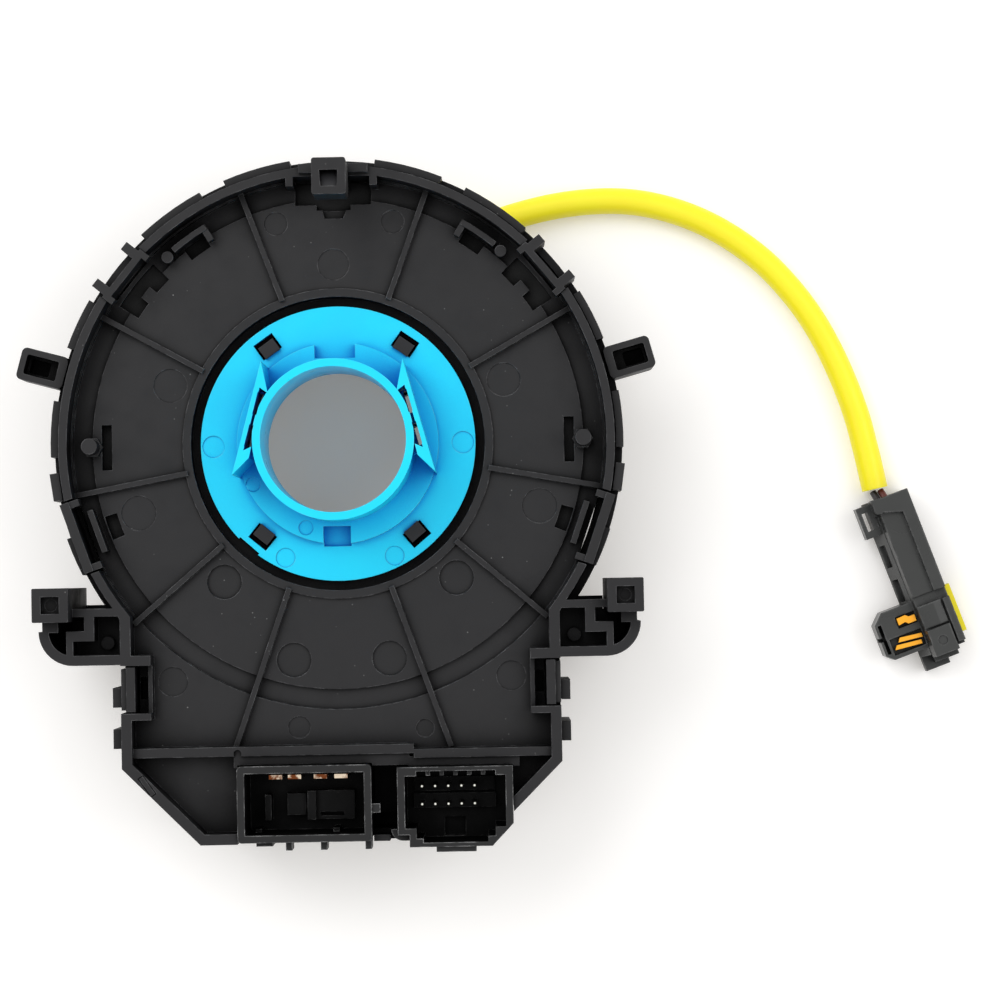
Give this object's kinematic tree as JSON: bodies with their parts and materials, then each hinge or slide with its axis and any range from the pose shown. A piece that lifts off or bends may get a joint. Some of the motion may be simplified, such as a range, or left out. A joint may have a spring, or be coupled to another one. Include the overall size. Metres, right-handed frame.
{
  "type": "steering clock spring",
  "caption": "Spiral cable unit for a steering column: ribbed round case with side brackets and two sockets, turning hub with blue cancel sleeve, and a yellow airbag lead with a plug.",
  "frame": {"origin": "on the turning axis, in the plane of the rotor hub's wheel-side end, which the part lies on", "axes": "+Z along the bore towards the column side, +Y away from the two case sockets, +X towards the airbag lead's side"},
  "size_m": [0.1831, 0.1318, 0.046],
  "materials": {
    "cover_plastic": "glass-filled moulding, fine spark-eroded matt",
    "case_plastic": "glass-filled moulding, matt",
    "rotor_plastic": "glass-filled moulding, matt",
    "socket_plastic": "fine moulding, satin",
    "carrier_plastic": "overmoulded carrier",
    "sleeve_plastic": "acetal, satin",
    "slip_film": "low-friction film, black",
    "ribbon": "laminated flat copper conductors",
    "pin_metal": "tin-plated brass",
    "blade_metal": "gold-flashed brass",
    "lead_tube": "soft vinyl tube, satin",
    "wire_dark": "insulated wire",
    "wire_brown": "insulated wire",
    "plug_plastic": "fine moulding, satin",
    "yellow_insert": "fine moulding",
    "yellow_lock": "fine moulding"
  },
  "bodies": {
    "stator": {"rear_cover": "cover_plastic", "front_case": "case_plastic", "rear_slip_sheet": "slip_film", "flat_cable": "ribbon", "lead_frame": "carrier_plastic", "srs_socket": "socket_plastic", "srs_blade_1": "blade_metal", "srs_blade_2": "blade_metal", "srs_blade_3": "blade_metal", "srs_blade_4": "blade_metal", "signal_socket": "socket_plastic", "signal_pin_1": "pin_metal", "signal_pin_2": "pin_metal", "signal_pin_3": "pin_metal", "signal_pin_4": "pin_metal", "signal_pin_5": "pin_metal", "signal_pin_6": "pin_metal", "signal_pin_7": "pin_metal", "signal_pin_8": "pin_metal", "signal_pin_9": "pin_metal", "signal_pin_10": "pin_metal"},
    "rotor": {"rotor": "rotor_plastic", "front_slip_sheet": "slip_film", "cancel_sleeve": "sleeve_plastic", "wheel_socket": "socket_plastic", "wheel_terminal_block": "carrier_plastic", "wheel_pin_1": "pin_metal", "wheel_pin_2": "pin_metal", "wheel_pin_3": "pin_metal", "wheel_pin_4": "pin_metal", "wheel_pin_5": "pin_metal", "wheel_pin_6": "pin_metal", "wheel_pin_7": "pin_metal", "wheel_pin_8": "pin_metal", "lead_cover": "rotor_plastic", "airbag_lead": "lead_tube", "lead_wire_1": "wire_dark", "lead_wire_2": "wire_brown", "plug_body": "plug_plastic", "plug_cover": "plug_plastic", "plug_contact_1": "yellow_insert", "plug_contact_2": "yellow_insert", "plug_shorting_clip": "yellow_insert"},
    "plug_lock": {"plug_lock": "yellow_lock"}
  },
  "joints": [
    {"name": "rotor_turn", "type": "hinge", "parent": "stator", "child": "rotor", "pos_m": [0, 0, 0.02], "axis": [0, 0, 1], "range_deg": [-900, 900], "deforming": ["flat_cable"]},
    {"name": "lock_slide", "type": "slide", "parent": "rotor", "child": "plug_lock", "axis": [-0.9397, -0.342, 0], "range_m": [0, 0.0012]}
  ]
}
